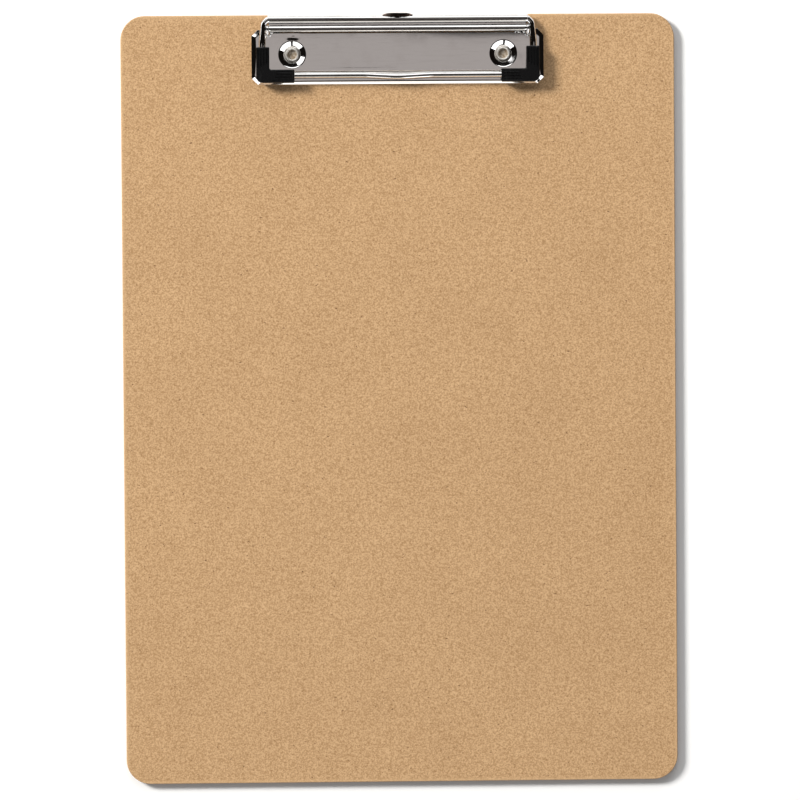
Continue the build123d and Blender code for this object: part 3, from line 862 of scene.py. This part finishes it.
mirrored_bends = [((-place[0], place[1], place[2]), radius) for place, radius in bail_bends[:-1]]
bail_line = rounded_route(bail_bends + mirrored_bends[::-1], 0.25)
bail = piece_from_patches("bent_wire", [(round_bar(bail_line, wire_radius, 36), True)], wire_chrome, 60)
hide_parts("wire_bail")
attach(bail, "bail")


# ---- corner grips ----
# Soft black plastic mouldings pushed on the two front corners of the wire, ribbed on top near both ends.

grip_low, grip_high = (np.array(corner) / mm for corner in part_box("sleeve_right"))
grip_width = 5.45
grip_shelf = platform_top + 0.15
heel_side = (platform_half + 0.35 - (grip_high[0] - grip_width)) / grip_width
heel_front = (grip_low[1] + grip_width - (platform_front - 0.35)) / grip_width
grip_round = 0.45
grip_outer_round, grip_inner_round = 2.6, 0.8
groove_pitch, groove_wide, groove_deep, groove_long, groove_margin = 1.19, 0.55, 0.35, 7.1, 0.8
wire_bore = wire_radius + 0.1
grip_black = (0.0035, 0.0035, 0.0038, 1)
grip_scuffed = (0.012, 0.0118, 0.0115, 1)
grip_dust = (0.05, 0.045, 0.04, 1)
spark_size, scuff_size, dust_size, spark_depth = 0.28 * mm, 1.6 * mm, 0.5 * mm, 0.02 * mm

grip_plastic, tree, shader = finish_material("grip_plastic", Specular_IOR_Level=0.35)
place = piece_place(tree)
spark = grain(tree, place, spark_size, 0.3, 0.7)
scuffs = grain(tree, piece_place(tree, (1, 0.25, 1), 0.7), scuff_size, 0.58, 0.76, 3.0)
dust = grain(tree, place, dust_size, 0.74, 0.82, 3.0)
worn = blend(tree, math(tree, "MULTIPLY", scuffs, 0.7), grip_black, grip_scuffed)
matte = math(tree, "MULTIPLY_ADD", scuffs, 0.16, math(tree, "MULTIPLY_ADD", spark, 0.1, 0.24))
feed(tree, shader, {"Base Color": blend(tree, math(tree, "MULTIPLY", dust, 0.35), worn, grip_dust),
                    "Roughness": matte})
lift(tree, shader, spark, 0.35, spark_depth)


def grip_sides(count):
    """Matching points on the inner and outer plan lines of the right grip, from its rear end round the corner
    to its front run's end, with the distance of each from the two ends."""
    outer_x, outer_y = grip_high[0], grip_low[1]
    inner_x, inner_y = outer_x - grip_width, outer_y + grip_width
    arm = np.linspace(0, 1, count)
    turn = np.radians(np.linspace(0, -90, 25))[1:-1]
    arc = np.stack([np.cos(turn), np.sin(turn)], 1)
    rear_y, end_x = grip_high[1], grip_low[0]

    def run(start, end):
        """Points from start to end."""
        return np.array(start) + arm[:, None] * (np.array(end) - np.array(start))

    def plan_line(x, y, radius):
        """Forward along x, round the corner and inward along y."""
        bend = np.array((x - radius, y + radius)) + radius * arc
        return np.concatenate([run((x, rear_y), (x, y + radius)), bend, run((x - radius, y), (end_x, y))])

    outer = plan_line(outer_x, outer_y, grip_outer_round)
    inner = plan_line(inner_x, inner_y, grip_inner_round)
    middle = (outer + inner) / 2
    step = np.concatenate([[0], np.cumsum(np.linalg.norm(np.diff(middle, axis=0), axis=1))])
    return inner, outer, step, step[-1] - step


def grip_section(heel):
    """The grip's closed section as (share across from the inner side, height): flat top, rounded edges, and a
    heel that steps down outside the platform."""
    turn = np.linspace(0, pi / 2, 7)
    edge = grip_round / grip_width
    top, low, shelf = grip_high[2], grip_low[2], grip_shelf
    top_run = np.stack([np.linspace(edge, 1 - edge, 90), np.full(90, top)], 1)
    outer_edge = np.stack([1 - edge + edge * np.sin(turn), top - grip_round * (1 - np.cos(turn))], 1)[1:]
    foot = np.array([(1, low + 1.2), (1, low + grip_round), (1 - edge, low), (heel + edge, low),
                     (heel, low + grip_round), (heel, shelf - 0.02), (heel - 0.01, shelf), (0.02, shelf),
                     (0, shelf + 0.1), (0, shelf + 1.0)])
    inner_edge = np.stack([edge - edge * np.cos(turn), top - grip_round * (1 - np.sin(turn))], 1)[:-1]
    return np.concatenate([top_run, outer_edge, foot, inner_edge])


def grip_body():
    """The section carried between the two plan lines. The grooves are pressed into the top by a mask of the
    place across and along, and the section shrinks over a small round at both ends."""
    inner, outer, from_rear, from_front = grip_sides(120)
    share_side = from_rear / from_rear[-1]
    heel = heel_side + (heel_front - heel_side) * np.clip((share_side - 0.42) / 0.16, 0, 1)
    section = np.stack([grip_section(h) for h in heel], 1)
    across, height = section[..., 0], section[..., 1].copy()
    from_end = np.minimum(from_rear, from_front)
    place = np.clip((from_end - groove_margin) / groove_long, 0, 1) * groove_long
    to_tip = np.minimum(place, groove_long - place)
    centre = (across - 0.5) * grip_width
    nearest = np.clip(np.round(centre / groove_pitch - 0.5), -2, 1) + 0.5
    slot = centre / groove_pitch - nearest
    aside = np.abs(slot) * groove_pitch
    half = groove_wide / 2
    tip_in = np.clip(half - to_tip, 0, half)
    open_half = np.sqrt(np.clip(half ** 2 - tip_in[None] ** 2, 0, None)) * (to_tip[None] > 0)
    depth = groove_deep * np.clip((open_half - aside) / 0.12 + 0.5, 0, 1)
    on_top = height > grip_high[2] - 1e-6
    height = np.where(on_top, height - depth * (to_tip[None] > 0), height)
    over = np.clip(grip_round - from_end, 0, grip_round)
    shrink = grip_round - np.sqrt(np.clip(grip_round ** 2 - over ** 2, 0, None))
    middle_z = (grip_high[2] + grip_shelf) / 2
    scale_across = 1 - 2 * shrink / grip_width
    scale_up = 1 - 2 * shrink / (grip_high[2] - grip_low[2])
    across = 0.5 + (across - 0.5) * scale_across[None]
    height = middle_z + (height - middle_z) * scale_up[None]
    plan = inner[None] + across[..., None] * (outer - inner)[None]
    return np.concatenate([plan, height[..., None]], 2)


def grip_end(ring, wire, inward):
    """Closes one end: the last ring runs in to a round mouth about the wire, then down a short bore."""
    offset = ring - wire
    plane = offset - (offset @ inward)[:, None] * inward
    direction = plane / np.linalg.norm(plane, axis=1)[:, None]
    face = wire + (offset @ inward)[:, None].mean() * inward
    mouth = face + direction * (wire_bore + 0.15)
    lip = face + direction * wire_bore + inward * 0.12
    deep = face + direction * wire_bore + inward * 1.5
    point = np.broadcast_to(face + inward * 1.5, ring.shape)
    return np.stack([ring, (ring + mouth) / 2, mouth, lip, deep, point], 1)


def whole_grip():
    """Body and both closed ends as one grid."""
    body = grip_body()
    rear = grip_end(body[:, 0], np.array((arm_x, grip_high[1], front_z)), np.array((0.0, -1.0, 0.0)))
    front = grip_end(body[:, -1], np.array((grip_low[0], front_y, front_z)), np.array((1.0, 0.0, 0.0)))
    return np.concatenate([rear[:, :0:-1], body, front[:, 1:]], 1)


for side, name in ((1, "sleeve_right"), (-1, "sleeve_left")):
    grip = piece_from_patches("moulded_" + name, [(whole_grip() * (side, 1, 1), True)], grip_plastic, 50)
    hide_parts(name)
    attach(grip, "bail")
